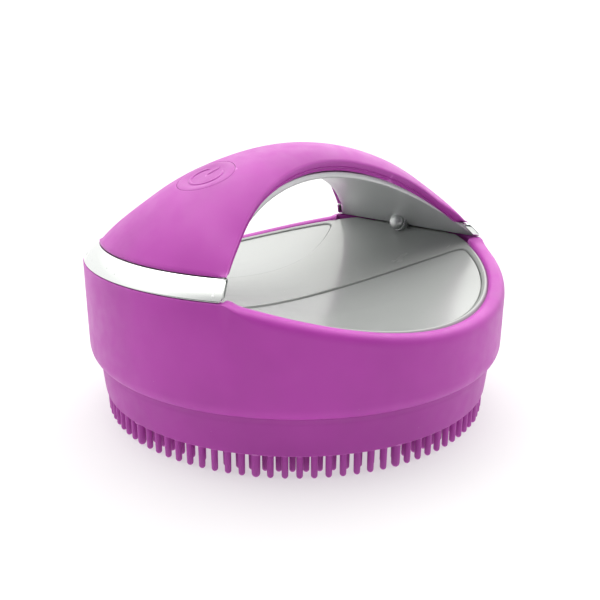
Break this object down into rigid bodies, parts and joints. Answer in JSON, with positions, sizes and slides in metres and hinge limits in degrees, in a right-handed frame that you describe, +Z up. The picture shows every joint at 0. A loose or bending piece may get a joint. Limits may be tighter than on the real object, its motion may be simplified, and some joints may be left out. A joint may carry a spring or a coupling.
{
  "type": "curry comb",
  "caption": "Round vibrating silicone curry comb with a pin brush underneath, a silver tray and an arched palm handle.",
  "frame": {"origin": "centre of the round body, on the surface that the pin tips stand on", "axes": "+Z up; +X along the handle, from the power button's end to the charge port's end; -Y out of one side opening"},
  "size_m": [0.1062, 0.1062, 0.0653],
  "materials": {
    "pad_silicone": "matt moulded silicone",
    "sleeve_silicone": "satin moulded silicone",
    "button_silicone": "satin moulded silicone",
    "silver_paint": "silver lacquer on plastic, glossy",
    "panel_silver": "silver lacquer on plastic, mirror gloss",
    "liner_silver": "silver lacquer on plastic, satin",
    "trim_chrome": "bright plated plastic",
    "plug_silver": "silver lacquer, glossy",
    "inner_plastic": "natural moulded ABS",
    "seal_rubber": "matt rubber",
    "screw_steel": "zinc plated",
    "motor_steel": "rolled steel can",
    "weight_metal": "sintered metal",
    "board_green": "solder mask on glass epoxy",
    "switch_black": "black moulded plastic",
    "wire_red": "PVC insulation",
    "cell_wrap": "shrink film",
    "contact_brass": "plated brass"
  },
  "bodies": {
    "housing": {"brush_pad": "pad_silicone", "base_plate": "inner_plastic", "pad_seal": "seal_rubber", "drum_shell": "inner_plastic", "body_sleeve": "sleeve_silicone", "tray": "silver_paint", "side_panel_front": "panel_silver", "side_panel_back": "panel_silver", "trim_band_left": "trim_chrome", "trim_band_right": "trim_chrome", "handle_grip": "sleeve_silicone", "handle_shell": "inner_plastic", "handle_liner": "liner_silver", "handle_screws": "screw_steel", "housing_screws": "screw_steel", "tact_switch": "switch_black", "switch_board": "board_green", "switch_wires": "wire_red", "main_board": "board_green", "board_parts": "switch_black", "board_screws": "screw_steel", "battery_cell": "cell_wrap", "battery_strap": "inner_plastic", "strap_screws": "screw_steel", "battery_wires": "wire_red", "motor_can": "motor_steel", "motor_sleeve": "seal_rubber", "motor_clamp": "inner_plastic", "clamp_screws": "screw_steel", "motor_wires": "wire_red", "charge_port": "silver_paint", "charge_contact": "contact_brass", "charge_wires": "wire_red"},
    "button": {"power_button": "button_silicone", "button_plunger": "inner_plastic"},
    "rotor": {"motor_shaft": "screw_steel", "eccentric_weight": "weight_metal"},
    "port_plug": {"charge_port_plug": "plug_silver"}
  },
  "joints": [
    {"name": "power_button_press", "type": "slide", "parent": "housing", "child": "button", "axis": [0.3875, 0, -0.9219], "range_m": [0, 0.0004], "stiffness_N_per_m": 2500},
    {"name": "motor_spin", "type": "hinge", "parent": "housing", "child": "rotor", "pos_m": [0, 0.0215, 0.018], "axis": [1, 0, 0], "continuous": true},
    {"name": "charge_plug_pull", "type": "slide", "parent": "housing", "child": "port_plug", "axis": [-0.9781, 0, 0.2079], "range_m": [0, 0.008]}
  ]
}
